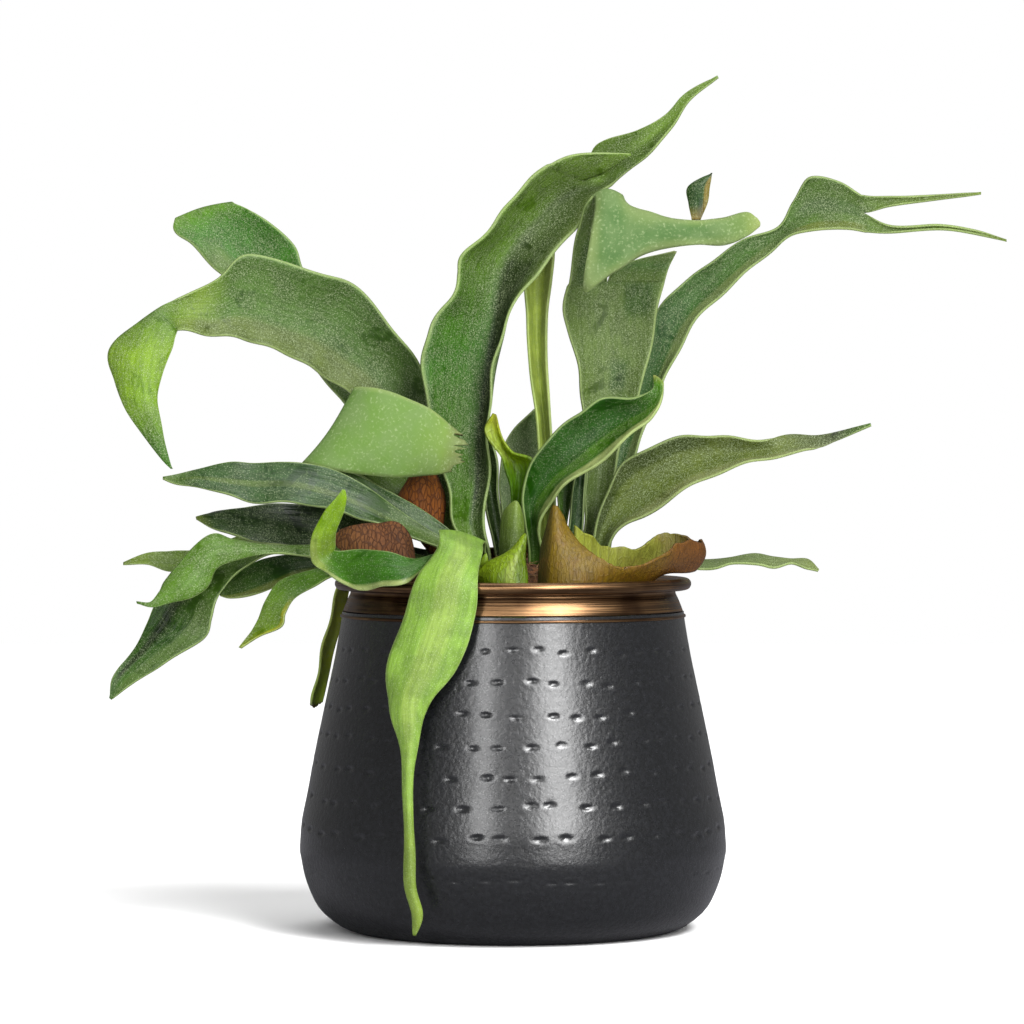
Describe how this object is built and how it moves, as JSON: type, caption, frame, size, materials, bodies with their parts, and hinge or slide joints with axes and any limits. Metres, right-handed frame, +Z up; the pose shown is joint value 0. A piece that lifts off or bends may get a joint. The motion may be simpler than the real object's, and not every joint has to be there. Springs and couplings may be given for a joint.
{
  "type": "staghorn fern in pot",
  "caption": "Staghorn fern with arching forked fronds and papery shield leaves, standing in a wide-bellied hammered black metal pot with a copper-toned collar.",
  "frame": {"origin": "centre of the pot's flat base, on the surface it stands on", "axes": "+Z up; -Y is the plant's front, the side the long leaf hangs down"},
  "size_m": [0.3587, 0.1708, 0.3416],
  "materials": {
    "black_paint": "satin black, fine orange-peel, rows of punched dents",
    "copper_collar": "brushed antique copper tone",
    "growing_pot": "matte black",
    "mix": "loose moss and bark fibre",
    "rhizome": "scaly and fibrous",
    "leaf_grey_green": "grey-green with fine pale hairs",
    "leaf_dark": "dark green, half glossy",
    "leaf_pale": "pale green, powdery",
    "leaf_bright": "bright yellow-green, half glossy",
    "shield_ochre": "ochre to brown, drying",
    "shield_green": "fresh yellow-green",
    "shield_dry": "dry brown, papery"
  },
  "bodies": {
    "root": {"pot_body": "black_paint", "neck_collar": "copper_collar", "nursery_pot": "growing_pot", "moss_mix": "mix", "rhizome": "rhizome", "frond_tall": "leaf_grey_green", "frond_arch": "leaf_grey_green", "frond_back_left": "leaf_grey_green", "frond_folded_torn": "leaf_pale", "frond_left_1": "leaf_dark", "frond_left_1b": "leaf_dark", "frond_left_2": "leaf_dark", "frond_left_3": "leaf_grey_green", "frond_left_4": "leaf_dark", "frond_left_tip": "leaf_grey_green", "frond_left_5": "leaf_dark", "frond_yellow_tip": "leaf_dark", "frond_side_hanging": "leaf_bright", "frond_curl": "leaf_bright", "frond_front_hanging": "leaf_pale", "frond_stalk_pale": "leaf_pale", "frond_broad": "leaf_grey_green", "frond_broad_flap": "leaf_dark", "frond_right_long": "leaf_grey_green", "frond_right_low": "leaf_grey_green", "frond_glossy": "leaf_dark", "frond_back_grey": "leaf_grey_green", "frond_teal": "leaf_dark", "frond_small_green": "leaf_dark", "frond_right_small": "leaf_grey_green", "frond_centre_dark": "leaf_dark", "young_roll": "leaf_pale", "sprout": "leaf_bright", "shield_ochre": "shield_ochre", "shield_green": "shield_green", "shield_fold": "shield_green", "shield_old_net": "shield_dry", "shield_dry_left": "shield_dry", "shield_back": "shield_dry"}
  },
  "joints": []
}
